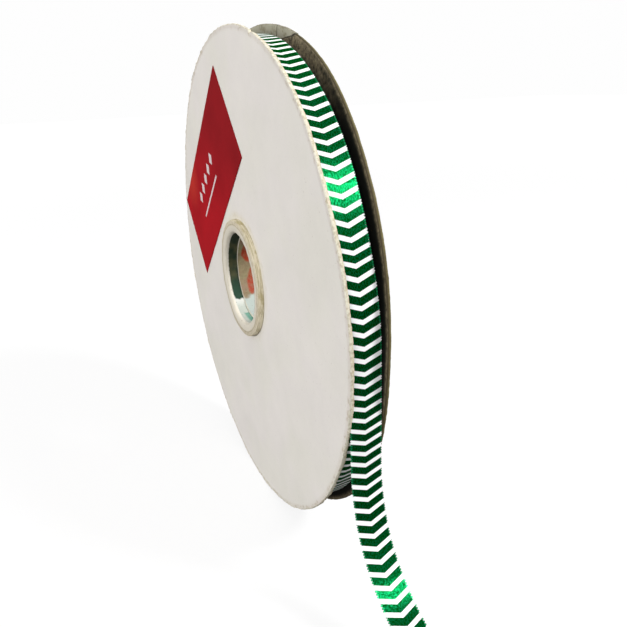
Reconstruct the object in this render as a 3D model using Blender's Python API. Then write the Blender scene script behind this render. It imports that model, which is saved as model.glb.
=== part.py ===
"""A roll of satin ribbon: two card discs on a card tube, the ribbon wound between them
and its loose end hanging from the front and running out over the surface.

Metres, +Z up. The roll stands on its rims with its axis along Y, the front disc towards -Y
and the loose end towards +X. The origin is the middle of the whole thing's footprint, on the
surface that it stands on.
"""

import math

import bmesh
import bpy

# Card spool
DISC_RADIUS = 0.0875
DISC_CARD = 0.0011
DISC_GAP = 0.0110
RIM_CHAMFER = 0.0002
FLAT_SPOT = 0.0100
CORE_RADIUS = 0.0223
CORE_PROUD = 0.0020
CORE_CHAMFER = 0.0004
BORE_RADIUS = 0.0164
BORE_MOUTH_RADIUS = 0.0172
BORE_MOUTH_DEPTH = 0.0050

# Ribbon
RIBBON_WIDTH = 0.0100
WOUND_RADIUS = 0.0846
WOUND_EDGE = 0.0003
TAIL_THICKNESS = 0.0010

# The loose end from the winding to the last point that curves freely.
# A row is what the run does, its length, and how far it turns up towards the horizontal.
TAIL_LAP_DEGREES = 14.0
TAIL_RUNS = (
    ("drop", 0.0333, 0.0),
    ("lean", 0.0169, 17.8),
    ("bend", 0.0306, 51.2),
    ("slope", 0.0220, 0.0),
)
TAIL_LEVEL_LENGTH = 0.0150

# Paper label on the front disc
LABEL_LENGTH = 0.0885
LABEL_WIDTH = 0.0400
LABEL_THICKNESS = 0.0003
LABEL_X = -0.0370
LABEL_Z = 0.0315
LABEL_DEGREES = 41.1

# Fit and smoothness
CLEARANCE = 0.0003
RIM_STEPS = 120
CORE_STEPS = 72
DEGREES_PER_STEP = 3.5

# Places that follow from the sizes, with the spool's centre as zero
HALF_SPOOL = DISC_CARD + DISC_GAP / 2
RIBBON_FRONT = -HALF_SPOOL + DISC_CARD + CLEARANCE
RIBBON_BACK = RIBBON_FRONT + RIBBON_WIDTH
AXIS_HEIGHT = math.sqrt(DISC_RADIUS**2 - (FLAT_SPOT / 2) ** 2)
TAIL_RADIUS = WOUND_RADIUS + CLEARANCE + TAIL_THICKNESS / 2


def material(name, colour, roughness):
    """A plain Principled material."""
    made = bpy.data.materials.new(name)
    made.use_nodes = True
    shader = made.node_tree.nodes["Principled BSDF"]
    shader.inputs["Base Color"].default_value = (*colour, 1.0)
    shader.inputs["Roughness"].default_value = roughness
    shader.inputs["Metallic"].default_value = 0.0
    return made


def place(name, bm, parent, finish, smooth_degrees=None):
    """Makes an object of bm, with its faces pointing out, and parents it to the spool's centre."""
    bmesh.ops.recalc_face_normals(bm, faces=bm.faces)
    mesh = bpy.data.meshes.new(name)
    bm.to_mesh(mesh)
    bm.free()
    if smooth_degrees is not None:
        mesh.shade_smooth()
        mesh.set_sharp_from_angle(angle=math.radians(smooth_degrees))
    mesh.materials.append(finish)
    made = bpy.data.objects.new(name, mesh)
    bpy.context.collection.objects.link(made)
    made.parent = parent
    return made


def turned(profile, steps):
    """A closed (radius, y) profile spun once round the spool's axis."""
    bm = bmesh.new()
    points = [bm.verts.new((radius, y, 0.0)) for radius, y in profile]
    edges = [bm.edges.new((points[i - 1], points[i])) for i in range(len(points))]
    bmesh.ops.spin(
        bm,
        geom=points + edges,
        cent=(0, 0, 0),
        axis=(0, 1, 0),
        angle=math.tau,
        steps=steps,
        use_merge=True,
    )
    bmesh.ops.remove_doubles(bm, verts=bm.verts, dist=0.000001)
    return bm


def cut_flat_spot(bm):
    """Cuts the rim off level with the surface that the spool stands on."""
    bmesh.ops.bisect_plane(
        bm,
        geom=bm.verts[:] + bm.edges[:] + bm.faces[:],
        plane_co=(0, 0, -AXIS_HEIGHT),
        plane_no=(0, 0, -1),
        clear_outer=True,
    )
    open_edges = [edge for edge in bm.edges if edge.is_boundary]
    bmesh.ops.holes_fill(bm, edges=open_edges)


def card_disc(name, outer_y, inward, parent, finish):
    """A card disc with its outer face at outer_y and its thickness running inward, 1 or -1."""
    hole = CORE_RADIUS + CLEARANCE
    inner_y = outer_y + inward * DISC_CARD
    chamfer = inward * RIM_CHAMFER
    profile = (
        (hole, outer_y),
        (DISC_RADIUS - RIM_CHAMFER, outer_y),
        (DISC_RADIUS, outer_y + chamfer),
        (DISC_RADIUS, inner_y - chamfer),
        (DISC_RADIUS - RIM_CHAMFER, inner_y),
        (hole, inner_y),
    )
    bm = turned(profile, RIM_STEPS)
    cut_flat_spot(bm)
    return place(name, bm, parent, finish, smooth_degrees=30)


def core_tube(parent, finish):
    """The card tube: it stands a little proud of both discs, and its bore is wider at the mouths."""
    end = HALF_SPOOL + CORE_PROUD
    step = end - BORE_MOUTH_DEPTH
    edge = CORE_RADIUS - CORE_CHAMFER
    profile = (
        (BORE_MOUTH_RADIUS, -end),
        (edge, -end),
        (CORE_RADIUS, -end + CORE_CHAMFER),
        (CORE_RADIUS, end - CORE_CHAMFER),
        (edge, end),
        (BORE_MOUTH_RADIUS, end),
        (BORE_MOUTH_RADIUS, step),
        (BORE_RADIUS, step),
        (BORE_RADIUS, -step),
        (BORE_MOUTH_RADIUS, -step),
    )
    return place("core", turned(profile, CORE_STEPS), parent, finish, smooth_degrees=30)


def wound_ribbon(parent, finish):
    """The winding, one solid from the tube to its outermost turn, its selvedges rounded over."""
    inside = CORE_RADIUS + CLEARANCE
    edge = WOUND_RADIUS - WOUND_EDGE
    profile = (
        (inside, RIBBON_FRONT),
        (edge, RIBBON_FRONT),
        (WOUND_RADIUS, RIBBON_FRONT + WOUND_EDGE),
        (WOUND_RADIUS, RIBBON_BACK - WOUND_EDGE),
        (edge, RIBBON_BACK),
        (inside, RIBBON_BACK),
    )
    bm = turned(profile, RIM_STEPS)
    return place("ribbon_roll", bm, parent, finish, smooth_degrees=50)


def advance(x, z, heading, length, turn):
    """The stations of one run: an arc, or a straight line where it doesn't turn.

    Heading is the angle below the horizontal, and each station is (x, z, heading).
    """
    steps = max(2, math.ceil(abs(turn) / DEGREES_PER_STEP))
    stations = []
    for i in range(steps):
        middle = math.radians(heading - turn * (i + 0.5) / steps)
        x += math.cos(middle) * length / steps
        z -= math.sin(middle) * length / steps
        stations.append((x, z, heading - turn * (i + 1) / steps))
    return stations


def tail_stations():
    """The loose end's middle line: a lap on the winding, the free fall and bend, the touch-down
    and a level run. The touch-down is an arc whose radius takes up the height that is left."""
    lap = math.radians(TAIL_LAP_DEGREES)
    x = TAIL_RADIUS * math.cos(lap)
    z = TAIL_RADIUS * math.sin(lap)
    heading = 90.0 - TAIL_LAP_DEGREES
    stations = [(x, z, heading)]
    stations += advance(x, z, heading, TAIL_RADIUS * lap, -TAIL_LAP_DEGREES)
    for _, length, turn in TAIL_RUNS:
        stations += advance(*stations[-1], length, turn)
    x, z, heading = stations[-1]
    drop = z - (TAIL_THICKNESS / 2 - AXIS_HEIGHT)
    radius = drop / (1 - math.cos(math.radians(heading)))
    stations += advance(x, z, heading, radius * math.radians(heading), heading)
    x, z, heading = stations[-1]
    lowest = TAIL_THICKNESS / 2 - AXIS_HEIGHT
    stations[-1] = (x, lowest, 0.0)
    stations += advance(x, lowest, 0.0, TAIL_LEVEL_LENGTH, 0.0)
    return stations


def loose_end(stations, parent, finish):
    """The loose end, a flat strip of ribbon carried along its middle line."""
    bm = bmesh.new()
    half = TAIL_THICKNESS / 2
    rings = []
    for x, z, heading in stations:
        angle = math.radians(heading)
        across = (math.sin(angle) * half, math.cos(angle) * half)
        corners = (
            (x + across[0], RIBBON_FRONT, z + across[1]),
            (x + across[0], RIBBON_BACK, z + across[1]),
            (x - across[0], RIBBON_BACK, z - across[1]),
            (x - across[0], RIBBON_FRONT, z - across[1]),
        )
        rings.append([bm.verts.new(corner) for corner in corners])
    for before, after in zip(rings, rings[1:]):
        for i in range(4):
            bm.faces.new((before[i - 1], before[i], after[i], after[i - 1]))
    bm.faces.new(rings[0])
    bm.faces.new(rings[-1])
    return place("ribbon_tail", bm, parent, finish, smooth_degrees=30)


def paper_label(parent, finish):
    """A plain rectangle of paper on the front disc, turned in the disc's plane."""
    bm = bmesh.new()
    bmesh.ops.create_cube(bm, size=1.0)
    bmesh.ops.scale(bm, verts=bm.verts, vec=(LABEL_LENGTH, LABEL_THICKNESS, LABEL_WIDTH))
    label = place("label", bm, parent, finish)
    back = -HALF_SPOOL - CLEARANCE
    label.location = (LABEL_X, back - LABEL_THICKNESS / 2, LABEL_Z)
    label.rotation_euler = (0, -math.radians(LABEL_DEGREES), 0)
    return label


def build():
    for old in list(bpy.data.objects):
        bpy.data.objects.remove(old, do_unlink=True)

    card = material("grey_card", (0.68, 0.65, 0.61), 0.85)
    tube = material("tube_card", (0.62, 0.57, 0.44), 0.8)
    satin = material("green_satin", (0.01, 0.16, 0.04), 0.35)
    paper = material("red_paper", (0.42, 0.02, 0.03), 0.45)

    stations = tail_stations()
    tail_reach = stations[-1][0]
    spool = bpy.data.objects.new("spool_centre", None)
    bpy.context.collection.objects.link(spool)
    spool.location = ((DISC_RADIUS - tail_reach) / 2, 0, AXIS_HEIGHT)

    card_disc("flange_front", -HALF_SPOOL, 1, spool, card)
    card_disc("flange_back", HALF_SPOOL, -1, spool, card)
    core_tube(spool, tube)
    wound_ribbon(spool, satin)
    loose_end(stations, spool, satin)
    paper_label(spool, paper)


build()
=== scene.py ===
"""The looks of a roll of satin ribbon on a card spool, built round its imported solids.

Metres, +Z up. The spool's axis runs along Y, its labelled disc faces -Y, and the loose end
leaves the winding at the front, towards +X. Angles round the spool are measured from +X
towards +Z. A place along the ribbon is measured from where it leaves the winding, and grows
towards the free end.
"""

import math

import bmesh
import bpy
import numpy as np
from mathutils import Matrix, Vector


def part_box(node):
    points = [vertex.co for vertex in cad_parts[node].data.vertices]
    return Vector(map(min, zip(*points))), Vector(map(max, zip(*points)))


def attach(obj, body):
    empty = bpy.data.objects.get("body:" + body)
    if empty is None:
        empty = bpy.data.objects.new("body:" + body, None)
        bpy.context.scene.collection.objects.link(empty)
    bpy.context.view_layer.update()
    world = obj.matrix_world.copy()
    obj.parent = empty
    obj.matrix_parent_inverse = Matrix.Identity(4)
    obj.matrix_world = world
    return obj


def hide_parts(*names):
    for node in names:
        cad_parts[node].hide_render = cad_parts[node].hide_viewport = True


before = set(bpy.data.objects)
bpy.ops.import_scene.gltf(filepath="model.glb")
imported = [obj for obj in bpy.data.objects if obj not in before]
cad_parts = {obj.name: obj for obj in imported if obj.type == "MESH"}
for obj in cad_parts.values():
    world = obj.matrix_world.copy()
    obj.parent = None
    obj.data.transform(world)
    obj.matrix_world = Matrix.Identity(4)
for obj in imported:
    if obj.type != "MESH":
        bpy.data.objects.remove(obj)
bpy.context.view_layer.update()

MM = 0.001

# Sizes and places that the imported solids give
FRONT_LOW, FRONT_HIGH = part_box("flange_front")
CORE_LOW, CORE_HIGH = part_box("core")
WOUND_LOW, WOUND_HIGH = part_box("ribbon_roll")
DISC_RADIUS = (FRONT_HIGH.x - FRONT_LOW.x) / 2
DISC_CARD = FRONT_HIGH.y - FRONT_LOW.y
AXIS_X = (FRONT_HIGH.x + FRONT_LOW.x) / 2
AXIS_Z = FRONT_HIGH.z - DISC_RADIUS
FRONT_FACE = FRONT_LOW.y
BACK_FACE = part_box("flange_back")[1].y
CORE_RADIUS = (CORE_HIGH.x - CORE_LOW.x) / 2
CORE_END = CORE_HIGH.y
WOUND_RADIUS = (WOUND_HIGH.x - WOUND_LOW.x) / 2
RIBBON_MIDDLE = (WOUND_HIGH.y + WOUND_LOW.y) / 2
RIBBON_WIDTH = WOUND_HIGH.y - WOUND_LOW.y

# The tube's bore, as in the solids
BORE_RADIUS = 16.4 * MM
MOUTH_RADIUS = 17.2 * MM
MOUTH_DEPTH = 5.0 * MM

# The loose end, as in the solids: what a run does, its length, and how far it turns up
TAIL_RUNS = (
    ("drop", 33.3 * MM, 0.0),
    ("lean", 16.9 * MM, 17.8),
    ("bend", 30.6 * MM, 51.2),
    ("slope", 22.0 * MM, 0.0),
)
TAIL_LEVEL_LENGTH = 15.0 * MM

# The ribbon itself
RIBBON_THICKNESS = 0.25 * MM
TURN_RISE = 0.32 * MM
LAP_DEGREES = 25.0
PICOT_PITCH = 0.78 * MM
PICOT_DEPTH = 0.5 * MM
STRIPE_PITCH = 3.744 * MM
STRIPE_SHARE = 0.37
STRIPE_DRIFT = 1.9 * MM
STRIPE_PLACE = -24.1 * MM
STRIPE_OFF_CENTRE = -0.3 * MM

# The outermost turn lies a little nearer to the front disc than the winding's middle
TURN_FORWARD = 0.2 * MM

# The print isn't quite even: a place along the ribbon, and how far the stripes have crept
# back there. The jump is the seam of the print roller.
PRINT_CREEP = (
    (-88.0 * MM, 0.50 * MM),
    (-77.0 * MM, 0.45 * MM),
    (-31.0 * MM, -0.60 * MM),
    (-24.4 * MM, 0.22 * MM),
    (10.0 * MM, 0.45 * MM),
    (30.0 * MM, 1.65 * MM),
    (75.0 * MM, 2.40 * MM),
)

# The card discs: where the close rows of the mesh start, where the rim's wear starts, the
# radius of the rounded rim, and how many columns go round
MARGIN_RADIUS = 80.0 * MM
WORN_RADIUS = 84.8 * MM
RIM_ROUND = 0.3 * MM
DISC_COLUMNS = 1000

# The label, as in the solids
LABEL_LENGTH = 88.5 * MM
LABEL_WIDTH = 40.0 * MM
LABEL_X = -37.0 * MM
LABEL_Z = 31.5 * MM
LABEL_DEGREES = 41.1
LABEL_PAPER = 0.12 * MM
LABEL_LIFT = 0.15 * MM

# The label's plain print, from its middle along and across it: lozenges in a row and a rule
PRINT_MIDDLE = -4.0 * MM
LOZENGES = 5
LOZENGE_PITCH = 7.0 * MM
LOZENGE_HEIGHT = 4.5 * MM
RULE_HEIGHT = -4.5 * MM
RULE_HALF_LENGTH = 15.0 * MM

# Red print inside the tube: its height over the axis, its place along Y and half its height
RED_BLOTS = ((6.2 * MM, 0.2 * MM, 3.7 * MM), (-8.5 * MM, 1.8 * MM, 5.2 * MM))

# The back disc's jagged crack and fine crease, as (degrees, radius in mm)
CRACK_LINE = ((78.0, 82.0), (77.0, 83.8), (74.7, 84.9), (72.1, 86.1), (70.2, 87.7))
CREASE_LINE = ((80.7, 82.0), (80.5, 82.9), (79.9, 84.8), (79.4, 87.7))

# How bright the sky is as a light, at the horizon and overhead, and how much the table glows
SKY_LOW, SKY_HIGH = 0.05, 0.53
TABLE_GLOW = 0.86

# The soft lights, which face the spool: name, place from the spool's middle, size and watts
LIGHTS = (
    ("key", (0.49, 0.45, 0.59), (0.19, 0.18), 6.5),
    ("side", (-0.5, -1.8, 0.25), (0.8, 0.8), 18.2),
    ("front", (1.6, -1.2, 0.35), (0.8, 0.8), 17.5),
    ("top", (-0.2, -0.15, 0.9), (0.9, 0.9), 1.2),
)

# The camera, from the middle of the front disc's face
CAMERA_OFFSET = Vector((214.3, -64.9, 67.9)) * MM
CAMERA_AZIMUTH = 66.48
CAMERA_ELEVATION = 20.56
CAMERA_ROLL = -2.20
CAMERA_LENS = 35.02


def smooth_step(value, start, end):
    """0 before start, 1 past end, and a smooth cubic between them."""
    t = np.clip((value - start) / (end - start), 0.0, 1.0)
    return t * t * (3.0 - 2.0 * t)


def bump_at(degrees, centre, width):
    """A bell round one angle: 1 at the centre and 0.37 at a width to either side."""
    away = (degrees - centre + 180.0) % 360.0 - 180.0
    return np.exp(-((away / width) ** 2))


def wander(angle, waves, seed):
    """A sum of sines with whole numbers of waves a turn and seeded phases, about 1 high."""
    chance = np.random.default_rng(seed)
    total = np.zeros_like(angle)
    for count in waves:
        total = total + np.sin(count * angle + chance.uniform(0.0, math.tau))
    return total / math.sqrt(len(waves))


def polar(radius, degrees, y):
    """Points round the spool's axis, stacked as x, y, z."""
    angle = np.radians(degrees)
    radius, angle, y = np.broadcast_arrays(radius, angle, y)
    return np.stack(
        [AXIS_X + radius * np.cos(angle), y, AXIS_Z + radius * np.sin(angle)], axis=-1
    )


def surface(name, points, ring_rows=False, ring_columns=False, values=(), out=True):
    """A mesh of a grid of points, rows by columns: each square of neighbours is one face.

    ring_rows and ring_columns join the last row or column to the first. values are named
    numbers for each point, which materials read. out turns the faces of a closed shape outwards.
    """
    rows, columns = points.shape[:2]
    i, j = np.meshgrid(
        np.arange(rows if ring_rows else rows - 1),
        np.arange(columns if ring_columns else columns - 1),
        indexing="ij",
    )
    i, j = i.ravel(), j.ravel()
    corners = ((i, j), (i, j + 1), (i + 1, j + 1), (i + 1, j))
    faces = np.stack([(a % rows) * columns + b % columns for a, b in corners], axis=-1)
    mesh = bpy.data.meshes.new(name)
    mesh.from_pydata(points.reshape(-1, 3).tolist(), [], faces.tolist())
    places = np.stack(
        [np.stack([b / columns, a / rows], axis=-1) for a, b in corners], axis=1
    )
    uv = mesh.uv_layers.new(name="strip")
    uv.data.foreach_set("uv", places.astype(np.float32).ravel())
    for label, numbers in dict(values).items():
        layer = mesh.attributes.new(label, "FLOAT", "POINT")
        full = np.broadcast_to(numbers, points.shape[:2])
        layer.data.foreach_set("value", full.astype(np.float32).ravel())
    if out:
        bm = bmesh.new()
        bm.from_mesh(mesh)
        bmesh.ops.recalc_face_normals(bm, faces=bm.faces)
        bm.to_mesh(mesh)
        bm.free()
    mesh.shade_smooth()
    mesh.set_sharp_from_angle(angle=math.radians(40.0))
    made = bpy.data.objects.new(name, mesh)
    bpy.context.scene.collection.objects.link(made)
    return made


class Shading:
    """Adds nodes to one material or node group and joins them."""

    def __init__(self, tree):
        self.tree = tree

    def add(self, kind, **settings):
        made = self.tree.nodes.new(kind)
        for name, value in settings.items():
            setattr(made, name, value)
        return made

    def feed(self, socket, value):
        """Joins a socket to another node's output, or sets its own value."""
        if isinstance(value, bpy.types.NodeSocket):
            self.tree.links.new(value, socket)
        else:
            socket.default_value = value

    def maths(self, operation, *values):
        made = self.add("ShaderNodeMath", operation=operation)
        for socket, value in zip(made.inputs, values):
            self.feed(socket, value)
        return made.outputs[0]

    def vectors(self, operation, *values):
        made = self.add("ShaderNodeVectorMath", operation=operation)
        for socket, value in zip(made.inputs, values):
            self.feed(socket, value)
        return made.outputs["Vector"]

    def length(self, vector):
        made = self.add("ShaderNodeVectorMath", operation="LENGTH")
        self.feed(made.inputs["Vector"], vector)
        return made.outputs["Value"]

    def scaled(self, colour, tone):
        """A colour made darker or lighter by a tone, which is about 1."""
        made = self.add("ShaderNodeVectorMath", operation="SCALE")
        self.feed(made.inputs["Vector"], colour)
        self.feed(made.inputs["Scale"], tone)
        return made.outputs["Vector"]

    def split(self, vector):
        """The x, y and z of a vector."""
        made = self.add("ShaderNodeSeparateXYZ")
        self.feed(made.inputs["Vector"], vector)
        return made.outputs

    def fade(self, value, start, end, low=0.0, high=1.0):
        """Smoothly from low at start to high at end, and level beyond them."""
        made = self.add("ShaderNodeMapRange", interpolation_type="SMOOTHSTEP")
        named = {"Value": value, "From Min": start, "From Max": end, "To Min": low, "To Max": high}
        for name, number in named.items():
            self.feed(made.inputs[name], number)
        return made.outputs["Result"]

    def blend(self, share, first, second):
        """A colour between two: first where share is 0, second where it is 1."""
        made = self.add("ShaderNodeMix", data_type="RGBA")
        # A mix of colours uses its sockets 0, 6 and 7, and output 2
        for index, value in ((0, share), (6, first), (7, second)):
            opaque = (*value, 1.0) if isinstance(value, tuple) else value
            self.feed(made.inputs[index], opaque)
        return made.outputs[2]

    def noise(self, vector, scale, detail=3.0, roughness=0.55):
        made = self.add("ShaderNodeTexNoise")
        named = {"Vector": vector, "Scale": scale, "Detail": detail, "Roughness": roughness}
        for name, number in named.items():
            self.feed(made.inputs[name], number)
        return made.outputs["Fac"]

    def read(self, name):
        """A number kept on the mesh's points."""
        return self.add("ShaderNodeAttribute", attribute_name=name).outputs["Fac"]

    def place(self):
        return self.add("ShaderNodeTexCoord").outputs["Object"]

    def join(self, x, y, z=0.0):
        made = self.add("ShaderNodeCombineXYZ")
        for socket, value in zip(made.inputs, (x, y, z)):
            self.feed(socket, value)
        return made.outputs[0]

    def use(self, group, **inputs):
        """Places a shared group with this material's own values."""
        made = self.add("ShaderNodeGroup", node_tree=group)
        for name, value in inputs.items():
            self.feed(made.inputs[name], value)
        return made.outputs


def shared_group(name, inputs, outputs):
    """An empty node group with named number or vector sockets, its Shading and its two ends."""
    group = bpy.data.node_groups.new(name, "ShaderNodeTree")
    for label, kind, value in inputs:
        made = group.interface.new_socket(label, in_out="INPUT", socket_type=kind)
        if value is not None:
            made.default_value = value
    for label, kind in outputs:
        group.interface.new_socket(label, in_out="OUTPUT", socket_type=kind)
    shade = Shading(group)
    return group, shade, shade.add("NodeGroupInput").outputs, shade.add("NodeGroupOutput").inputs


def card_fibre_group():
    """Card: a slow mottle round 1, sparse dark flecks, and the height of its felted surface."""
    number, vector = "NodeSocketFloat", "NodeSocketVector"
    group, shade, given, result = shared_group(
        "card fibre",
        (("Place", vector, None), ("Mottle", number, 0.05), ("Flecks", number, 0.3)),
        (("Tone", number), ("Fleck", number), ("Height", number)),
    )
    cloud = shade.noise(given["Place"], 70.0, 4.0)
    pulp = shade.noise(given["Place"], 900.0, 3.0, 0.65)
    both = shade.maths("MULTIPLY_ADD", pulp, 0.35, cloud)
    swing = shade.maths("SUBTRACT", both, 0.675)
    strength = shade.maths("MULTIPLY", given["Mottle"], 2.0)
    shade.feed(result["Tone"], shade.maths("MULTIPLY_ADD", swing, strength, 1.0))
    specks = shade.noise(given["Place"], 1500.0, 1.0, 0.4)
    mask = shade.fade(specks, 0.72, 0.78)
    shade.feed(result["Fleck"], shade.maths("MULTIPLY", mask, given["Flecks"]))
    shade.feed(result["Height"], shade.noise(given["Place"], 2600.0, 3.0, 0.6))
    return group


def satin_weave_group():
    """Satin: long warp floats along the ribbon, told from Along and Across in metres.

    Glint is a mottle of single floats round 0.5, from a noise with 1.5 cells a millimetre
    along and 3.6 across. Height is the glint and a sine across the ribbon every 0.16 mm.
    """
    number = "NodeSocketFloat"
    group, shade, given, result = shared_group(
        "satin weave",
        (("Along", number, 0.0), ("Across", number, 0.0)),
        (("Glint", number), ("Height", number)),
    )
    floats = shade.join(
        shade.maths("MULTIPLY", given["Along"], 1500.0),
        shade.maths("MULTIPLY", given["Across"], 3600.0),
    )
    glint = shade.noise(floats, 1.0, 1.0, 0.5)
    shade.feed(result["Glint"], glint)
    threads = shade.maths("MULTIPLY", given["Across"], math.tau / (0.16 * MM))
    ribs = shade.maths("SINE", threads)
    shade.feed(result["Height"], shade.maths("MULTIPLY_ADD", ribs, 0.12, glint))
    return group


def material(name):
    """A new Principled material: its Shading and its shader's sockets."""
    made = bpy.data.materials.new(name)
    made.use_nodes = True
    shade = Shading(made.node_tree)
    return made, shade, made.node_tree.nodes["Principled BSDF"].inputs


def relief(shade, sockets, height, depth):
    """Feeds a height through one Bump node into the shader's normal."""
    made = shade.add("ShaderNodeBump")
    made.inputs["Strength"].default_value = 1.0
    made.inputs["Distance"].default_value = depth
    shade.feed(made.inputs["Height"], height)
    shade.feed(sockets["Normal"], made.outputs["Normal"])


def from_axis(shade, spot):
    """How far a place is from the spool's axis."""
    offset = shade.vectors("MULTIPLY_ADD", spot, (1.0, 0.0, 1.0), (-AXIS_X, 0.0, -AXIS_Z))
    return shade.length(offset)


def glue_mask(shade, spot):
    """Smudges of dried glue round the tube: strongest beside it and above it."""
    smudge = shade.noise(spot, 260.0, 3.0, 0.6)
    blurred = shade.maths("MULTIPLY_ADD", smudge, 5.0 * MM, from_axis(shade, spot))
    near = shade.fade(blurred, 25.6 * MM, 28.6 * MM, 1.0, 0.0)
    height = shade.maths("SUBTRACT", shade.split(spot)[2], AXIS_Z)
    return shade.maths("MULTIPLY", near, shade.fade(height, -30.0 * MM, 26.0 * MM, 0.15, 0.6))


def coated_face(shade, spot, scuff, edge):
    """The card's pale outer face: tinted in clouds, glued at the hub and stained at the rim."""
    tint = shade.fade(shade.noise(spot, 38.0, 2.0), 0.35, 0.65)
    face = shade.blend(tint, (0.765, 0.735, 0.672), (0.775, 0.735, 0.695))
    thick = shade.maths("MULTIPLY_ADD", scuff, 0.5, 0.5)
    glue = shade.maths("MULTIPLY", thick, glue_mask(shade, spot))
    face = shade.blend(glue, face, (0.60, 0.54, 0.38))
    worn = shade.fade(edge, 0.05, 0.5)
    stain = shade.maths("MULTIPLY", worn, shade.maths("MULTIPLY_ADD", scuff, 0.48, 0.16))
    return shade.blend(stain, face, (0.36, 0.26, 0.14))


def inner_board(shade, spot, scuff, bare, groove_shadow, dusk):
    """The card's inner face: near-black painted shade that lifts to dusk at the rim, and patches of
    painted light.
    """
    # Painted shade: the card is near black beside the ribbon, where the groove lies in shadow, and
    # lightens to dusk at the rim
    ragged_edge = shade.maths("SUBTRACT", scuff, 0.5)
    radius = shade.maths("MULTIPLY_ADD", ragged_edge, 0.5 * MM, from_axis(shade, spot))
    out_of_groove_shade = shade.fade(radius, 85.9 * MM, 87.6 * MM)
    # Painted light in patches, where the mesh marks the card as lit
    patchy = shade.maths("MULTIPLY_ADD", shade.noise(spot, 700.0, 4.0, 0.75), 3.0, -1.0)
    tan = shade.maths("MULTIPLY", shade.read("tan"), patchy)
    inner = shade.blend(tan, shade.blend(out_of_groove_shade, groove_shadow, dusk), (0.31, 0.25, 0.155))
    unshaded = shade.blend(scuff, (0.45, 0.425, 0.33), (0.29, 0.26, 0.18))
    return shade.blend(bare, inner, unshaded)


def cut_edge(shade, spot, side, bare, rim, far_rim, speck):
    """The card's raw rim: from rim to far_rim across its thickness, with darker fibres."""
    raw = shade.blend(shade.fade(side, 0.15, 0.85), rim, far_rim)
    raw = shade.blend(bare, raw, (0.34, 0.32, 0.24))
    fibres = shade.fade(shade.noise(spot, 900.0, 3.0, 0.7), 0.42, 0.66)
    return shade.blend(shade.maths("MULTIPLY", fibres, 0.6), raw, speck)


def split_lines(shade, spot):
    """How dark the crack and the crease are, from the distances across them."""
    jagged = shade.maths("MULTIPLY_ADD", shade.noise(spot, 900.0), 1.4 * MM, -0.7 * MM)
    off_crack = shade.maths("ABSOLUTE", shade.maths("ADD", shade.read("crack"), jagged))
    wide = shade.fade(off_crack, 0.35 * MM, 1.0 * MM, 0.95, 0.0)
    off_crease = shade.maths("ABSOLUTE", shade.read("crease"))
    thin = shade.fade(off_crease, 0.08 * MM, 0.40 * MM, 0.8, 0.0)
    return shade.maths("MAXIMUM", wide, thin)


def card_material(name, fibre, rim, far_rim, speck, groove_shadow, dusk):
    """Pale coated card: its cut edge is raw, and the face inside is dark with painted shade.

    The mesh says where. rim is 1 on the cut edge and fades on the face beside it. inner is 1
    on the inner face and falls to 0 across the cut edge. On the inner face a mesh value gives
    patches of painted light, where the painted shade lifts, and bare is where the card is pale
    past the crack. crack and crease are distances across those lines.
    """
    made, shade, sockets = material(name)
    spot = shade.place()
    grain = shade.use(fibre, Place=spot, Mottle=0.07, Flecks=0.2)
    scuff = shade.fade(shade.noise(spot, 420.0, 4.0, 0.7), 0.50, 0.66)
    edge, side, bare = shade.read("rim"), shade.read("inner"), shade.read("bare")
    face = coated_face(shade, spot, scuff, edge)
    inner = inner_board(shade, spot, scuff, bare, groove_shadow, dusk)
    raw = cut_edge(shade, spot, side, bare, rim, far_rim, speck)
    cut = shade.maths("MULTIPLY_ADD", shade.maths("SUBTRACT", scuff, 0.5), 0.3, edge)
    colour = shade.blend(side, face, inner)
    colour = shade.blend(shade.fade(cut, 0.5, 0.8), colour, raw)
    colour = shade.scaled(colour, grain["Tone"])
    colour = shade.blend(grain["Fleck"], colour, (0.16, 0.09, 0.03))
    dark = shade.maths("MULTIPLY", split_lines(shade, spot), side)
    shade.feed(sockets["Base Color"], shade.blend(dark, colour, (0.03, 0.024, 0.015)))
    sockets["Roughness"].default_value = 0.72
    sockets["Specular IOR Level"].default_value = 0.2
    relief(shade, sockets, grain["Height"], 0.04 * MM)
    return made


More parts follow.
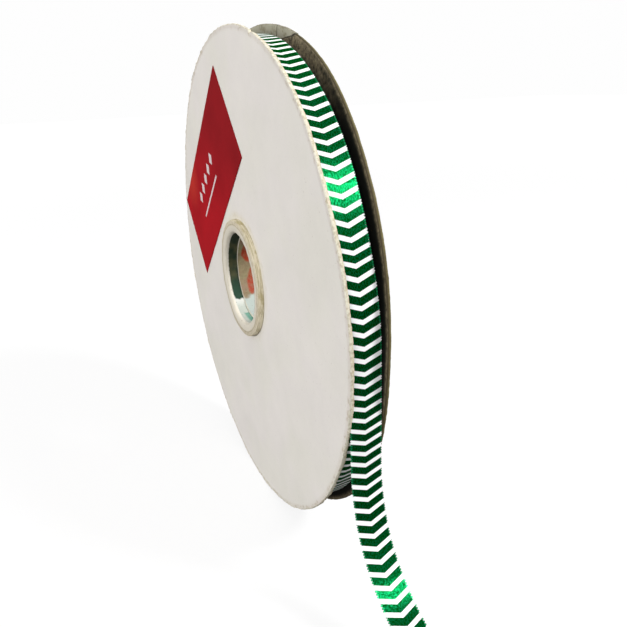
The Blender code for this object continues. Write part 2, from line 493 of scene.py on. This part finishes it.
def ribbon_material(weave):
    """Green satin printed with white chevrons that point to the free end.

    The green threads are partly metallic, as satin floats gleam in their own colour, and
    their gleam is long across the ribbon and short along it.
    """
    made, shade, sockets = material("printed satin")
    along, across = shade.read("along"), shade.read("across")
    threads = shade.use(weave, Along=along, Across=across)
    glint = threads["Glint"]
    uneven = shade.noise(shade.join(along, across), 3500.0, 2.0)
    off_vee = shade.maths("ABSOLUTE", shade.maths("SUBTRACT", across, STRIPE_OFF_CENTRE))
    slope = STRIPE_DRIFT / (RIBBON_WIDTH / 2)
    place = shade.maths("MULTIPLY_ADD", off_vee, slope, shade.read("printed"))
    place = shade.maths("MULTIPLY_ADD", uneven, 0.12 * MM, place)
    # A thousand stripes more keep the count above 0 all along the ribbon
    start = 1000.5 - STRIPE_PLACE / STRIPE_PITCH
    turn = shade.maths("FRACT", shade.maths("MULTIPLY_ADD", place, 1.0 / STRIPE_PITCH, start))
    from_middle = shade.maths("ABSOLUTE", shade.maths("SUBTRACT", turn, 0.5))
    edge = STRIPE_SHARE / 2
    print_share = shade.fade(from_middle, edge - 0.012, edge + 0.012, 1.0, 0.0)
    selvedge = shade.fade(shade.maths("ABSOLUTE", across), 4.35 * MM, 4.6 * MM)
    loops = shade.fade(shade.read("loop"), 0.35, 0.75)
    bright = shade.fade(glint, 0.46, 0.56)
    green = shade.blend(bright, (0.0, 0.054, 0.003), (0.002, 0.136, 0.042))
    # Painted shade and glint at the picot edges: near black in the gaps between the loops, where the
    # turn beneath lies in shade, and brighter green on the loops, as though they catch the light
    picot_gap_shade_and_glint = shade.blend(loops, (0.0, 0.008, 0.001), (0.02, 0.36, 0.13))
    green = shade.blend(shade.maths("MULTIPLY", selvedge, 0.85), green, picot_gap_shade_and_glint)
    shade.feed(sockets["Base Color"], shade.blend(print_share, green, (0.92, 0.93, 0.93)))
    gloss = shade.maths("MULTIPLY_ADD", bright, -0.22, 0.52)
    shade.feed(sockets["Roughness"], shade.maths("MULTIPLY_ADD", print_share, 0.2, gloss))
    metal = shade.maths("MULTIPLY_ADD", bright, 0.5, 0.4)
    unprinted = shade.maths("SUBTRACT", 1.0, print_share)
    shade.feed(sockets["Metallic"], shade.maths("MULTIPLY", metal, unprinted))
    sockets["Specular IOR Level"].default_value = 0.0
    sockets["Specular Tint"].default_value = (0.05, 0.62, 0.24, 1.0)
    sockets["Anisotropic"].default_value = 0.7
    tangent = shade.add("ShaderNodeTangent", direction_type="UV_MAP", uv_map="strip")
    shade.feed(sockets["Tangent"], tangent.outputs[0])
    relief(shade, sockets, threads["Height"], 0.015 * MM)
    return made


def turns_material(weave):
    """The edges of the turns under the outermost one: dark green with fine rings."""
    made, shade, sockets = material("wound turns")
    threads = shade.use(weave, Along=shade.read("along"), Across=shade.read("across"))
    colour = shade.blend(threads["Glint"], (0.0, 0.03, 0.006), (0.0, 0.1, 0.02))
    shade.feed(sockets["Base Color"], colour)
    sockets["Roughness"].default_value = 0.5
    relief(shade, sockets, threads["Height"], 0.05 * MM)
    return made


def tube_outside(shade, spot, radius, cloud, fine, rough):
    """The tube's side, streaked by its plies and olive in places, and its two-toned cut end.

    The end is olive and specked at its outer edge, pale pink at its inner one, and a thin dark
    ply runs round near its outer edge.
    """
    stretched = shade.vectors("MULTIPLY", spot, (1.0, 12.0, 1.0))
    plies = shade.fade(shade.noise(stretched, 220.0, 3.0, 0.7), 0.38, 0.62)
    side = shade.blend(plies, (0.80, 0.73, 0.56), (0.50, 0.43, 0.26))
    olive = shade.maths("MULTIPLY", shade.fade(cloud, 0.52, 0.62), 0.6)
    side = shade.blend(olive, side, (0.42, 0.35, 0.15))
    end = shade.blend(rough, (0.64, 0.57, 0.45), (0.54, 0.47, 0.33))
    blurred = shade.maths("MULTIPLY_ADD", fine, 1.2 * MM, radius)
    within = shade.fade(blurred, 20.4 * MM, 21.2 * MM, 1.0, 0.0)
    end = shade.blend(within, end, (0.69, 0.64, 0.54))
    waved = shade.maths("MULTIPLY_ADD", cloud, 0.8 * MM, radius)
    off_ply = shade.maths("ABSOLUTE", shade.maths("SUBTRACT", waved, 20.9 * MM))
    ply = shade.fade(off_ply, 0.06 * MM, 0.26 * MM, 0.6, 0.0)
    end = shade.blend(ply, end, (0.34, 0.29, 0.17))
    return shade.blend(shade.read("end"), side, end)


def tube_mouth(shade, height, depth, jagged, cloud, fine):
    """Inside the mouth: a pale lip, then dark green, and below a pale painted gleam with patches of
    teal.
    """
    dark = shade.blend(shade.fade(cloud, 0.4, 0.65), (0.012, 0.028, 0.014), (0.07, 0.07, 0.03))
    dark = shade.blend(shade.fade(jagged, 0.0, -7.0 * MM), dark, (0.014, 0.050, 0.026))
    patch = shade.fade(cloud, 0.47, 0.56)
    teal = shade.maths("MULTIPLY", patch, shade.fade(depth, 2.4 * MM, 3.6 * MM))
    # Painted gleam: lower down, the wall faces up to the light, so it is painted pale
    lowest = shade.fade(height, -12.5 * MM, -15.0 * MM)
    low = shade.blend(lowest, (0.70, 0.71, 0.66), (0.50, 0.54, 0.48))
    low = shade.blend(shade.maths("MULTIPLY", teal, 0.85), low, (0.08, 0.30, 0.22))
    wall = shade.blend(shade.fade(jagged, -8.8 * MM, -9.6 * MM), dark, low)
    lip = shade.fade(shade.maths("MULTIPLY_ADD", fine, 0.5 * MM, depth), 1.5 * MM, 1.8 * MM)
    return shade.blend(lip, (0.78, 0.73, 0.63), wall)


def red_blot(shade, height, y, cloud, rough, place):
    """How much of the bore's red print is at a spot: an oval with clouded, rubbed edges."""
    middle, side, tall = place
    across = shade.maths("SUBTRACT", y, side)
    rise = shade.maths("MULTIPLY", shade.maths("SUBTRACT", height, middle), 2.0 * MM / tall)
    away = shade.length(shade.join(across, rise))
    blurred = shade.maths("MULTIPLY_ADD", cloud, 3.0 * MM, away)
    inside = shade.fade(blurred, 3.5 * MM, 4.3 * MM, 1.0, 0.0)
    return shade.maths("MULTIPLY", inside, shade.maths("MULTIPLY_ADD", rough, -0.45, 1.0))


def tube_bore(shade, height, y, jagged, cloud, rough):
    """The bore: brownish olive with blots of red print, and a pale green painted gleam below."""
    bore = shade.blend(shade.fade(cloud, 0.35, 0.65), (0.28, 0.19, 0.12), (0.29, 0.27, 0.14))
    bore = shade.blend(shade.maths("MULTIPLY", rough, 0.5), bore, (0.20, 0.14, 0.08))
    for place in RED_BLOTS:
        blot = red_blot(shade, height, y, cloud, rough, place)
        bore = shade.blend(blot, bore, (0.36, 0.042, 0.014))
    # Painted gleam: the bottom of the bore is painted pale green, as it faces up to the light
    return shade.blend(shade.fade(jagged, -8.0 * MM, -9.5 * MM), bore, (0.46, 0.52, 0.48))


def tube_material(fibre):
    """Rolled card outside and at its ends, and printed waste paper inside, with a painted gleam at
    the bottom.

    The mesh's end, mouth and bore are 1 on those parts of the tube. Heights are from the
    tube's middle, and depths from its front end.
    """
    made, shade, sockets = material("tube card")
    spot = shade.place()
    grain = shade.use(fibre, Place=spot, Mottle=0.2, Flecks=0.5)
    _, y, z = shade.split(spot)
    height = shade.maths("SUBTRACT", z, AXIS_Z)
    depth = shade.maths("ADD", y, CORE_END)
    fine = shade.noise(spot, 700.0, 3.0, 0.7)
    rough = shade.fade(fine, 0.4, 0.62)
    cloud = shade.noise(spot, 160.0, 2.0)
    jagged = shade.maths("MULTIPLY_ADD", shade.noise(spot, 220.0, 2.0), 5.0 * MM, height)
    colour = tube_outside(shade, spot, from_axis(shade, spot), cloud, fine, rough)
    mouth = tube_mouth(shade, height, depth, jagged, cloud, fine)
    colour = shade.blend(shade.read("mouth"), colour, mouth)
    bore = tube_bore(shade, height, y, jagged, cloud, rough)
    colour = shade.blend(shade.read("bore"), colour, bore)
    shade.feed(sockets["Base Color"], shade.blend(grain["Fleck"], colour, (0.14, 0.09, 0.03)))
    sockets["Roughness"].default_value = 0.6
    sockets["Specular IOR Level"].default_value = 0.25
    relief(shade, sockets, grain["Height"], 0.06 * MM)
    return made


def label_print(shade, u, v):
    """Where the label is printed: a row of lozenges, and a straight rule under it."""
    from_middle = shade.maths("SUBTRACT", u, PRINT_MIDDLE)
    step = shade.maths("FRACT", shade.maths("MULTIPLY_ADD", from_middle, 1.0 / LOZENGE_PITCH, 0.5))
    off_step = shade.maths("ABSOLUTE", shade.maths("SUBTRACT", step, 0.5))
    along = shade.maths("MULTIPLY", off_step, LOZENGE_PITCH)
    rise = shade.maths("ABSOLUTE", shade.maths("SUBTRACT", v, LOZENGE_HEIGHT))
    lozenge = shade.maths("MULTIPLY_ADD", rise, 0.8, along)
    filled = shade.fade(lozenge, 2.2 * MM, 2.5 * MM, 1.0, 0.0)
    span = shade.maths("ABSOLUTE", from_middle)
    within = shade.maths("LESS_THAN", span, LOZENGES / 2 * LOZENGE_PITCH)
    row = shade.maths("MULTIPLY", filled, within)
    below = shade.maths("ABSOLUTE", shade.maths("SUBTRACT", v, RULE_HEIGHT))
    thin = shade.fade(below, 0.5 * MM, 0.7 * MM, 1.0, 0.0)
    long = shade.fade(span, RULE_HALF_LENGTH, RULE_HALF_LENGTH + 0.4 * MM, 1.0, 0.0)
    return shade.maths("MAXIMUM", row, shade.maths("MULTIPLY", thin, long))


def label_material(fibre):
    """Dark red coated paper, paler in one smudge, with its plain print in silver grey.

    The mesh's label_u and label_v are metres along and across the label from its middle.
    """
    made, shade, sockets = material("red paper")
    grain = shade.use(fibre, Place=shade.place(), Mottle=0.25, Flecks=0.0)
    u, v = shade.read("label_u"), shade.read("label_v")
    warm = shade.fade(shade.maths("MULTIPLY_ADD", v, 0.6, u), -18.0 * MM, 34.0 * MM)
    red = shade.blend(warm, (0.40, 0.010, 0.016), (0.27, 0.010, 0.014))
    off_u = shade.maths("ADD", u, 26.0 * MM)
    off_v = shade.maths("SUBTRACT", v, 19.0 * MM)
    smudge = shade.fade(shade.length(shade.join(off_u, off_v)), 3.0 * MM, 16.0 * MM, 0.5, 0.0)
    red = shade.blend(smudge, red, (0.55, 0.05, 0.03))
    red = shade.scaled(red, grain["Tone"])
    silver = label_print(shade, u, v)
    shade.feed(sockets["Base Color"], shade.blend(silver, red, (0.72, 0.62, 0.62)))
    shade.feed(sockets["Roughness"], shade.maths("MULTIPLY_ADD", silver, -0.1, 0.5))
    sockets["Specular IOR Level"].default_value = 0.04
    relief(shade, sockets, grain["Height"], 0.01 * MM)
    return made


def dress(piece, finish, slot, *nodes):
    """Gives a piece its material, hangs it under the root body, and hides the solids it stands for.
    """
    piece.data.materials.append(finish)
    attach(piece, "root")
    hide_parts(*nodes)


def front_lean(degrees):
    """How far the front disc's rim stands in: it bulges out at 28 degrees, and is drawn in below."""
    return 0.4 * MM * bump_at(degrees, -10.0, 14.0) - 0.75 * MM * bump_at(degrees, 28.0, 13.0)


def back_lean(degrees):
    """How far the back disc's rim stands out: bent out above, pinched in at the front."""
    return 1.2 * MM * bump_at(degrees, 57.0, 22.0) - 0.9 * MM * bump_at(degrees, -6.0, 17.0)


def ribbon_sway(degrees):
    """How far the outer turn strays sideways where the front disc bulges."""
    return -0.6 * MM * bump_at(degrees, 22.0, 14.0) - 0.2 * MM * bump_at(degrees, 55.0, 25.0)


def ragged(chance, rows, columns, knots, height):
    """Smooth noise round the rim: seeded random heights at even knots, joined by cubics.

    Each row has its own knots, half of each shared with the other rows.
    """
    at_knot = chance.normal(0.0, 1.0, (rows, knots)) + chance.normal(0.0, 1.0, knots)
    place = np.arange(columns) * knots / columns
    left = place.astype(int)
    t = place - left
    ease = t * t * (3.0 - 2.0 * t)
    return height / 1.4 * (at_knot[:, left] * (1 - ease) + at_knot[:, (left + 1) % knots] * ease)


def disc_profile():
    """The disc's profile as columns of numbers: outer face, rounded rim, and inner face back.

    Gives its radius, its depth from the outer face, cut, which is 1 on the rim, and inner,
    which grows from 0 to 1 across the rim and is 1 on the inner face.
    """
    hole = CORE_RADIUS + 0.12 * MM
    flat_edge = DISC_RADIUS - RIM_ROUND
    plain = np.linspace(hole, MARGIN_RADIUS, 12, endpoint=False)
    face = np.concatenate([plain, np.linspace(MARGIN_RADIUS, flat_edge, 15)])
    over = np.radians(np.linspace(70.0, -70.0, 7))
    rim_radius = flat_edge + RIM_ROUND * np.cos(over)
    rim_depth = DISC_CARD / 2 * (1.0 - np.sin(over))
    none, full = np.zeros_like(face), np.ones_like(face)
    columns = (
        (face, rim_radius, face[::-1]),
        (none, rim_depth, DISC_CARD * full),
        (none, np.ones_like(over), none),
        (none, np.linspace(0.0, 1.0, len(over)), full),
    )
    return [np.concatenate(column)[:, None] for column in columns]


def frayed_rim(rows, degrees, frayed, seed):
    """How far the rim frays, and the nicks in it, which are cut inwards.

    The fraying is smooth noise of four lengths, from 8 mm down to 0.6 mm, and is less near
    45 degrees. The nicks are the peaks of a sum of sines, and one chip.
    """
    chance = np.random.default_rng(seed)
    fray = sum(
        ragged(chance, rows, len(degrees), knots, height * frayed * MM)
        for knots, height in ((70, 0.05), (180, 0.06), (420, 0.05), (900, 0.04))
    )
    fray = fray * (1.0 - 0.55 * bump_at(degrees, 45.0, 40.0))
    peaks = wander(np.radians(degrees), (19, 47, 73, 113), seed + 1)
    nicks = -0.3 * MM * frayed**2 * smooth_step(peaks, 1.3, 2.1)
    chip = 0.7 * MM * frayed**4 * bump_at(degrees, 73.2, 0.7)
    return fray, nicks - chip


def card_disc(name, face_y, inward, lean, detail, frayed, seed):
    """A card disc: a profile of face, rounded rim, inner face and hole, carried round the axis.

    frayed is how worn the rim is, from 0 to 1. The faces dip a little, and the rim leans by
    lean(angle), which fades to nothing at the hub as the cube of the radius.
    detail(radius, angle) gives what the inner face's material reads, and how far the card is
    lifted. What would be below the surface it stands on is flattened to it.
    """
    base, depth, cut, inner = disc_profile()
    # The columns stand closest together near 0 degrees, the side that the camera sees
    spread = np.linspace(0.0, 1.0, DISC_COLUMNS, endpoint=False)
    degrees = 360.0 * spread + 14.0 * np.sin(math.tau * (spread - 0.5))
    worn_width = DISC_RADIUS - RIM_ROUND - WORN_RADIUS
    near_edge = np.clip((base - WORN_RADIUS) / worn_width, 0.0, 1.0) ** 1.5
    fray, nicks = frayed_rim(len(base), degrees, frayed, seed)
    radius = base + (fray * (0.4 + 0.6 * cut) + nicks) * near_edge
    radius = np.minimum(radius, DISC_RADIUS + 0.15 * MM)
    side = np.sign(depth - DISC_CARD / 2)
    burr = 0.8 * fray * near_edge * side * (0.3 + cut)
    reach = base / DISC_RADIUS
    dips = 0.06 * MM * wander(np.radians(degrees), (3, 5, 8), seed + 2) * reach**2
    bare, tan, crack, fold, lift = detail(base, degrees)
    y = face_y + inward * (depth + dips + burr) + lean(degrees) * reach**3 + lift
    points = polar(radius, degrees, y)
    points[..., 2] = np.maximum(points[..., 2], 0.0)
    values = {
        "rim": np.maximum(cut, 0.75 * near_edge * (1.0 - inner)),
        "inner": inner,
        "bare": bare,
        "tan": tan,
        "crack": crack,
        "crease": fold,
    }
    return surface(name, points, ring_rows=True, ring_columns=True, values=values)


def sound_card(radius, degrees):
    """The front disc has no bare or cracked place, and has painted light inside at its rim."""
    # Painted light: the inner face lightens towards the rim, out of the groove's shade
    lit_rim = smooth_step(radius, 85.5 * MM, 87.3 * MM) * np.ones_like(degrees)
    far_off = 1.0
    return 0.0, lit_rim, far_off, far_off, 0.0


def crease(radius, degrees, line):
    """Signed distance across a crease, given as (angle, radius) points from hub to rim."""
    turns, radii = np.array(line).T
    return (degrees - np.interp(radius, radii * MM, turns)) * math.pi / 180.0 * radius


def cracked_card(radius, degrees):
    """The back disc's bent part: past a jagged crack the card is bare, pale and lifted.

    A fine crease runs to the rim further on. Both lines rise a little, with bell sections.
    Gives how bare the card is and where painted light lightens it, the distances across the
    two lines, and the lift.
    """
    jagged = crease(radius, degrees, CRACK_LINE)
    fine = crease(radius, degrees, CREASE_LINE)
    near_rim = smooth_step(radius, 82.5 * MM, 83.8 * MM)
    ridge = np.exp(-((jagged / (0.40 * MM)) ** 2)) * near_rim
    hairline = np.exp(-((fine / (0.28 * MM)) ** 2)) * near_rim
    above = 1.0 - smooth_step(degrees, 118.0, 135.0)
    past = smooth_step(jagged, -0.3 * MM, 0.5 * MM) * above
    # Painted light: the inner face lightens towards the rim, out of the groove's shade, and on top,
    # where light falls from above
    edge = smooth_step(radius, 85.6 * MM, 87.4 * MM) * np.ones_like(degrees)
    tan = np.maximum(edge, smooth_step(degrees, 42.0, 68.0) * above)
    lift = past * near_rim * 0.35 * MM * (1.0 - smooth_step(jagged, 4.0 * MM, 18.0 * MM))
    lift = lift + 0.25 * MM * (ridge + 0.6 * hairline)
    far_off = 10.0 * MM
    crack, fold = (np.clip(line, -far_off, far_off) for line in (jagged, fine))
    return 0.95 * past, tan, crack, fold, lift


def card_tube():
    """The tube: its profile carried round the axis, with its cut ends a little uneven.

    One end's profile runs from the bore over the mouth and the end to the side. The other
    end's is its mirror image, and one more row lies at the bore's middle.
    """
    one_end = np.array(
        (
            # radius, distance in from the end, end, mouth, bore
            (BORE_RADIUS, MOUTH_DEPTH + 0.1 * MM, 0, 0, 1),
            (BORE_RADIUS + 0.1 * MM, MOUTH_DEPTH, 1, 0, 0),
            (MOUTH_RADIUS - 0.1 * MM, MOUTH_DEPTH, 1, 0, 0),
            (MOUTH_RADIUS, MOUTH_DEPTH - 0.1 * MM, 0, 1, 0),
            (MOUTH_RADIUS, 1.5 * MM, 0, 1, 0),
            (MOUTH_RADIUS + 0.2 * MM, 0.7 * MM, 0, 1, 0),
            (MOUTH_RADIUS + 0.55 * MM, 0.2 * MM, 1, 0, 0),
            (MOUTH_RADIUS + 1.0 * MM, 0.0, 1, 0, 0),
            (MOUTH_RADIUS + 2.5 * MM, -0.1 * MM, 1, 0, 0),
            (CORE_RADIUS - 0.6 * MM, 0.0, 1, 0, 0),
            (CORE_RADIUS - 0.1 * MM, 0.25 * MM, 0, 0, 0),
            (CORE_RADIUS, 0.7 * MM, 0, 0, 0),
        )
    )
    front, back = one_end.copy(), one_end[::-1].copy()
    front[:, 1] = one_end[:, 1] - CORE_END
    back[:, 1] = CORE_END - one_end[::-1, 1]
    middle = np.array([[BORE_RADIUS, 0.0, 0, 0, 1]])
    radius, y, end, mouth, bore = np.concatenate([front, back, middle]).T[:, :, None]
    columns = 288
    angle = np.arange(columns) * math.tau / columns
    radius = radius + 0.08 * MM * wander(angle, (2, 5, 9), 41)
    y = y + 0.06 * MM * wander(angle, (3, 7, 16, 31), 43) * end
    values = {"end": end, "mouth": mouth, "bore": bore}
    points = polar(radius, np.degrees(angle), y)
    return surface("card_tube", points, ring_rows=True, ring_columns=True, values=values)


def turn_radius(degrees):
    """The outer turn's middle: it climbs by one ribbon's thickness in each turn.

    Degrees count back round the winding from where the ribbon leaves it.
    """
    return WOUND_RADIUS - RIBBON_THICKNESS / 2 - TURN_RISE * degrees / 360.0


def wound_turns():
    """The turns under the outermost one: a ring whose sides step in and out, turn by turn.

    Its outside follows the outer turn a little below it, and dips under the lap. Each of its
    sides stands in by a seeded amount that is the same all round the axis.
    """
    columns = 240
    rows = 90
    degrees = np.arange(columns) * 360.0 / columns
    lap = bump_at(degrees, LAP_DEGREES / 2, LAP_DEGREES * 0.8)
    outside = turn_radius(degrees) - 0.2 * MM - (TURN_RISE + 0.05 * MM) * lap
    inside = CORE_RADIUS + 0.3 * MM
    climb = np.linspace(0.0, 1.0, rows)[:, None]
    side_radius = inside + (outside - inside) * climb
    chance = np.random.default_rng(5)
    uneven = np.abs(chance.normal(0.0, 0.07 * MM, (rows, 1))) + 0.08 * MM
    sway = ribbon_sway(degrees) * climb**6
    front = RIBBON_MIDDLE - RIBBON_WIDTH / 2 + uneven + np.maximum(sway, -0.3 * MM)
    back = RIBBON_MIDDLE + RIBBON_WIDTH / 2 - uneven + sway
    radius = np.concatenate([side_radius, side_radius[::-1]])
    y = np.concatenate([front, back[::-1]])
    points = polar(radius, degrees, y)
    values = {"along": radius * 0.7, "across": radius}
    return surface("wound_turns", points, ring_rows=True, ring_columns=True, values=values)


def tail_line(step):
    """The loose end's middle line, as arrays x, z and the distance from the leaving point.

    The heading below the horizontal falls along each run in turn, and on an arc down to the
    level whose radius takes up the height that is left. It is averaged over 5 mm, so that
    the bends flow into each other, and then summed up step by step.
    """
    heading, distance, drop = 90.0, [0.0], 0.0
    headings = [heading]
    shares = (np.arange(40) + 0.5) / 40
    for _, length, turn in TAIL_RUNS:
        drop += length * float(np.sin(np.radians(heading - turn * shares)).mean())
        heading -= turn
        distance.append(distance[-1] + length)
        headings.append(heading)
    slope_end = distance[-1]
    lowest = RIBBON_THICKNESS / 2
    left = AXIS_Z - drop - lowest
    radius = left / (1.0 - math.cos(math.radians(heading)))
    level_start = slope_end + radius * math.radians(heading)
    distance += [level_start, level_start + TAIL_LEVEL_LENGTH]
    headings += [0.0, 0.0]
    s = np.arange(0.0, distance[-1] + step / 2, step)
    angle = np.interp(s, distance, headings)
    window = int(5.0 * MM / step) | 1
    padded = np.pad(angle, window // 2, mode="edge")
    angle = np.radians(np.convolve(padded, np.ones(window) / window, mode="valid"))
    start_x = AXIS_X + turn_radius(0.0)
    x = start_x + np.concatenate([[0.0], np.cumsum(np.cos(angle[:-1]) * step)])
    z = AXIS_Z - np.concatenate([[0.0], np.cumsum(np.sin(angle[:-1]) * step)])
    z = z + (lowest - z[-1]) * smooth_step(s, slope_end, level_start)
    return x, np.maximum(z, lowest), s


def thicken(piece, thickness):
    """Gives a sheet its thickness, half to each side of its mesh."""
    wall = piece.modifiers.new("thickness", "SOLIDIFY")
    wall.thickness = thickness
    wall.offset = 0.0


def ribbon_strip():
    """The outermost turn and the loose end, one strip of ribbon carried along its middle line.

    Its edges run out and in by the picots' depth, in round loops four steps long.
    """
    step = PICOT_PITCH / 4
    back_degrees = np.arange(360.0 + LAP_DEGREES, 0.0, -math.degrees(step / WOUND_RADIUS))
    wound = polar(turn_radius(back_degrees), back_degrees, 0.0)
    tail_x, tail_z, tail_s = tail_line(step)
    x = np.concatenate([wound[:, 0], tail_x])
    z = np.concatenate([wound[:, 2], tail_z])
    along = np.concatenate([-np.radians(back_degrees) * WOUND_RADIUS, tail_s])
    degrees = np.concatenate([back_degrees, 0.0 * tail_s])
    sway = ribbon_sway(degrees) * (1.0 - smooth_step(along, 0.0, 30.0 * MM))
    half = RIBBON_WIDTH / 2
    side = np.array([half, half - 0.04 * MM, half - 0.75 * MM, half / 2])
    across = np.concatenate([-side, [0.0], side[::-1]])
    # Only the two outer points of each side run in between the loops
    loop = np.array([1.0, 0.8, 0.0, 0.8])[np.arange(len(along)) % 4][:, None]
    inwards = np.array([1.0, 1.0, 0.0, 0.0, 0.0, 0.0, 0.0, -1.0, -1.0])
    across = across + PICOT_DEPTH * (1.0 - loop) * inwards
    y = RIBBON_MIDDLE - TURN_FORWARD + across + sway[:, None]
    x, z = np.broadcast_to(x[:, None], y.shape), np.broadcast_to(z[:, None], y.shape)
    points = np.stack([x, y, z], axis=-1)
    creep = np.interp(along, *zip(*PRINT_CREEP))
    values = {
        "along": along[:, None],
        "across": across,
        "loop": loop,
        "printed": (along + creep)[:, None],
    }
    made = surface("ribbon_strip", points, values=values, out=False)
    thicken(made, RIBBON_THICKNESS)
    length = float(along[-1] - along[0])
    return made, length


def paper_label():
    """The label: a sheet of paper in the front disc's plane, following its lean."""
    u = np.linspace(-LABEL_LENGTH / 2, LABEL_LENGTH / 2, 121)[:, None]
    v = np.linspace(-LABEL_WIDTH / 2, LABEL_WIDTH / 2, 61)[None, :]
    turn = math.radians(LABEL_DEGREES)
    x = LABEL_X + u * math.cos(turn) - v * math.sin(turn)
    z = LABEL_Z + u * math.sin(turn) + v * math.cos(turn)
    degrees = np.degrees(np.arctan2(z, x))
    lean = front_lean(degrees) * (np.hypot(x, z) / DISC_RADIUS) ** 3
    points = np.stack([AXIS_X + x, FRONT_FACE - LABEL_LIFT + lean, AXIS_Z + z], axis=-1)
    made = surface("paper_label", points, values={"label_u": u, "label_v": v}, out=False)
    thicken(made, LABEL_PAPER)
    return made


def soft_box(name, offset, size, power):
    """A rectangular soft light that faces the spool's middle: offset is its place from there."""
    data = bpy.data.lights.new(name, "AREA")
    data.shape = "RECTANGLE"
    data.size, data.size_y = size
    data.energy = power
    made = bpy.data.objects.new(name, data)
    bpy.context.scene.collection.objects.link(made)
    made.location = Vector((AXIS_X, 0.0, AXIS_Z)) + Vector(offset)
    made.rotation_euler = (-Vector(offset)).to_track_quat("-Z", "Y").to_euler()


def pale_sky():
    """A white sky that lights more from overhead, and looks paler than it lights."""
    world = bpy.data.worlds.new("studio")
    bpy.context.scene.world = world
    world.use_nodes = True
    shade = Shading(world.node_tree)
    sky = world.node_tree.nodes["Background"].inputs
    seen = shade.add("ShaderNodeLightPath").outputs["Is Camera Ray"]
    upwards = shade.split(shade.add("ShaderNodeTexCoord").outputs["Generated"])[2]
    lit = shade.fade(upwards, 0.0, 0.5, SKY_LOW, SKY_HIGH)
    rest = shade.maths("SUBTRACT", 0.99, lit)
    shade.feed(sky["Strength"], shade.maths("MULTIPLY_ADD", seen, rest, lit))
    sky["Color"].default_value = (1.0, 1.0, 1.0, 1.0)


def light_table():
    """A pale table that glows to the camera alone, as a table lit from below looks."""
    bpy.ops.mesh.primitive_plane_add(size=8.0, location=(0.0, 0.0, 0.0))
    floor = bpy.context.object
    floor.name = "floor"
    made, shade, sockets = material("light table")
    sockets["Roughness"].default_value = 0.7
    sockets["Specular IOR Level"].default_value = 0.0
    sockets["Emission Color"].default_value = (1.0, 1.0, 1.0, 1.0)
    seen = shade.add("ShaderNodeLightPath").outputs["Is Camera Ray"]
    shade.feed(sockets["Base Color"], shade.blend(seen, (0.07, 0.07, 0.07), (0.15, 0.15, 0.15)))
    glow = shade.fade(shade.length(shade.place()), 0.3, 2.0, TABLE_GLOW, 0.95)
    shade.feed(sockets["Emission Strength"], shade.maths("MULTIPLY", seen, glow))
    floor.data.materials.append(made)


def studio():
    """A pale table under a pale sky, with the soft lights round the spool."""
    pale_sky()
    light_table()
    for light in LIGHTS:
        soft_box(*light)


def camera():
    """The camera: back is the way from the object to it, then its right and up, and its roll."""
    azimuth, elevation, roll = (
        math.radians(a) for a in (CAMERA_AZIMUTH, CAMERA_ELEVATION, CAMERA_ROLL)
    )
    back = Vector(
        (
            math.sin(azimuth) * math.cos(elevation),
            -math.cos(azimuth) * math.cos(elevation),
            math.sin(elevation),
        )
    )
    level = Vector((0.0, 0.0, 1.0)).cross(back).normalized()
    upright = back.cross(level)
    right = level * math.cos(roll) + upright * math.sin(roll)
    up = back.cross(right)
    data = bpy.data.cameras.new("camera")
    data.lens = CAMERA_LENS
    data.clip_start = 0.01
    made = bpy.data.objects.new("camera", data)
    bpy.context.scene.collection.objects.link(made)
    turned = Matrix((right, up, back)).transposed().to_4x4()
    place = Vector((AXIS_X, FRONT_FACE, AXIS_Z)) + CAMERA_OFFSET
    made.matrix_world = Matrix.Translation(place) @ turned
    bpy.context.scene.camera = made


camera()
studio()
bpy.context.scene.view_settings.view_transform = "Standard"

fibre = card_fibre_group()
weave = satin_weave_group()

cream = card_material(
    "pale card",
    fibre,
    rim=(0.72, 0.69, 0.58),
    far_rim=(0.70, 0.64, 0.48),
    speck=(0.40, 0.31, 0.18),
    # Painted shade: the inner face's near-black colour beside the ribbon, lifting to dusk at the rim
    groove_shadow=(0.012, 0.011, 0.008),
    dusk=(0.05, 0.045, 0.032),
)
# The back disc's card is the front's: its darker rim and specks are partly its own olive and partly
# painted shade, and its near-black inner face is painted shade
olive = card_material(
    "shaded olive card",
    fibre,
    rim=(0.19, 0.165, 0.065),
    far_rim=(0.06, 0.048, 0.025),
    speck=(0.07, 0.05, 0.025),
    groove_shadow=(0.003, 0.003, 0.002),
    dusk=(0.075, 0.062, 0.036),
)
front_disc = card_disc("disc_front", FRONT_FACE, 1.0, front_lean, sound_card, 1.0, 11)
back_disc = card_disc("disc_back", BACK_FACE, -1.0, back_lean, cracked_card, 0.45, 23)
dress(front_disc, cream, "grey_card", "flange_front")
dress(back_disc, olive, "grey_card", "flange_back")
dress(card_tube(), tube_material(fibre), "tube_card", "core")
dress(wound_turns(), turns_material(weave), "satin", "ribbon_roll")
strip, strip_length = ribbon_strip()
dress(strip, ribbon_material(weave), "satin", "ribbon_tail")
dress(paper_label(), label_material(fibre), "label_paper", "label")
